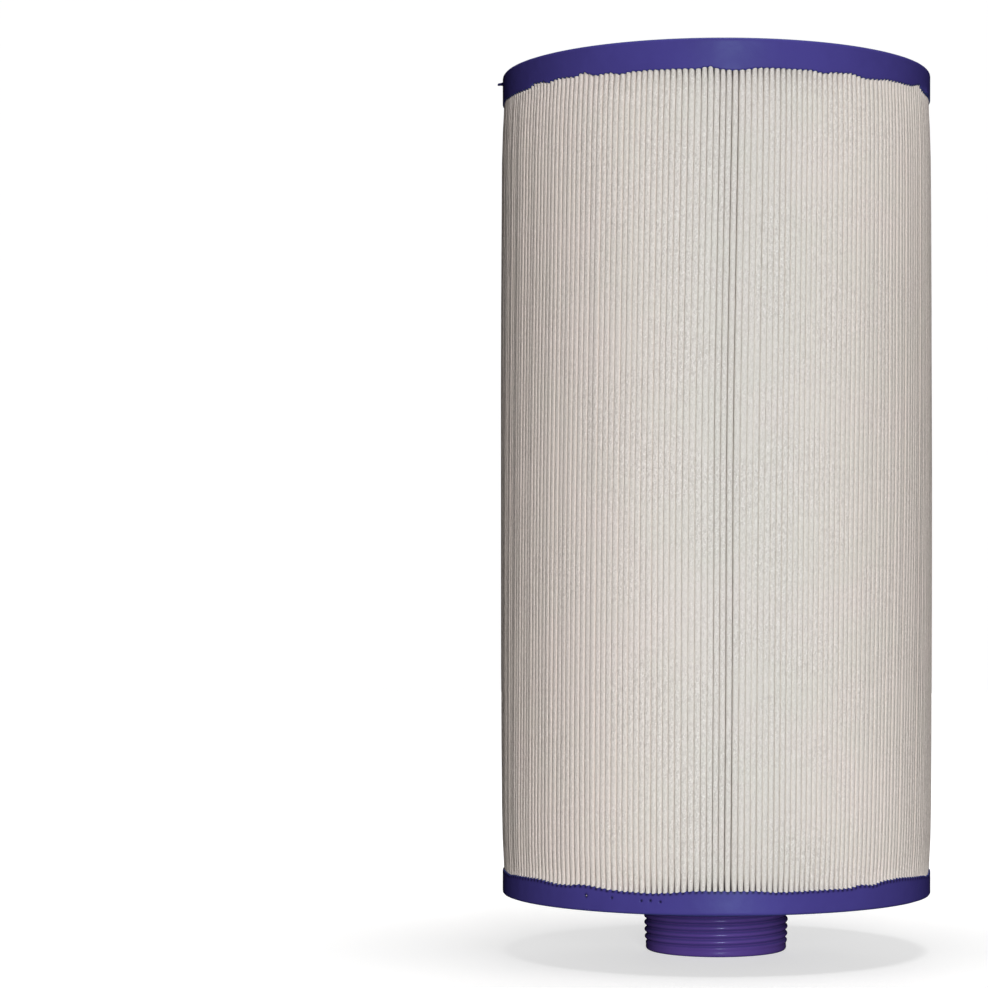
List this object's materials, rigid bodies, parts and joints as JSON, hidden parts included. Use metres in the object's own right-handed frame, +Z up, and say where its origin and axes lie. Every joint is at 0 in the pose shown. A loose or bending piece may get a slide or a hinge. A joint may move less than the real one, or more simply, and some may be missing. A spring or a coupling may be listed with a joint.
{
  "type": "filter cartridge",
  "caption": "Cylindrical pleated filter cartridge with two cast end caps, a perforated core, an open bore at the top and a threaded spigot at the bottom.",
  "frame": {"origin": "centre of the open end of the threaded spigot, which is the lowest point of the cartridge", "axes": "+Z up along the cartridge's axis, from the spigot towards the open end cap; +Y points to the seam of the pleated sheet"},
  "size_m": [0.135, 0.135, 0.2754],
  "materials": {
    "cast_urethane": "satin",
    "spigot_plastic": "satin",
    "core_plastic": "satin",
    "filter_fabric": "matte",
    "seam_adhesive": "satin"
  },
  "bodies": {
    "root": {"top_end_cap": "cast_urethane", "bottom_end_cap": "cast_urethane", "threaded_adapter": "spigot_plastic", "core_lower_section": "core_plastic", "core_middle_section": "core_plastic", "core_upper_section": "core_plastic", "pleated_media": "filter_fabric", "media_seam_bead": "seam_adhesive"}
  },
  "joints": []
}
